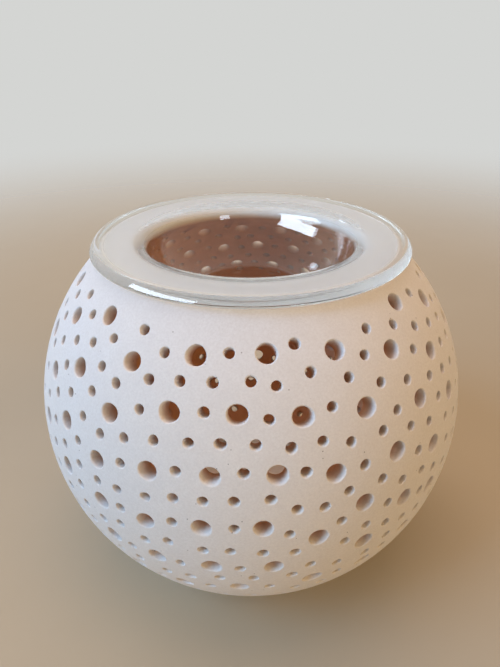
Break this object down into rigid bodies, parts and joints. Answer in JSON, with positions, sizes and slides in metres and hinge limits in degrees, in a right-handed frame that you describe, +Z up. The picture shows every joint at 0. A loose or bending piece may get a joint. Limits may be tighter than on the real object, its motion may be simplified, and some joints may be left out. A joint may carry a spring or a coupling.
{
  "type": "essential oil burner",
  "caption": "Round oil burner: a pierced bisque ceramic globe over a tealight, with a lift-off clear glass oil dish resting on its rim.",
  "frame": {"origin": "middle of the flat foot, on the surface that the burner stands on", "axes": "+Z up through the mouth, front towards -Y, +X to the right as seen from the front"},
  "size_m": [0.12, 0.12, 0.1027],
  "materials": {
    "bisque": "matte unglazed off-white",
    "clear_glass": "clear, polished, rounded edge",
    "tealight_foil": "bright thin sheet",
    "candle_wax": "white wax, slightly translucent",
    "wick_cotton": "waxed cotton cord",
    "wick_tab_tin": "thin tinned sheet"
  },
  "bodies": {
    "globe": {"pierced_globe": "bisque"},
    "dish": {"oil_dish": "clear_glass"},
    "tealight": {"tealight_cup": "tealight_foil", "tealight_wax": "candle_wax", "wick": "wick_cotton", "wick_tab": "wick_tab_tin"}
  },
  "joints": [
    {"name": "dish_lift", "type": "slide", "parent": "globe", "child": "dish", "axis": [0, 0, 1], "range_m": [0, 0.12]},
    {"name": "tealight_lift", "type": "slide", "parent": "globe", "child": "tealight", "axis": [0, 0, 1], "range_m": [0, 0.055]}
  ]
}
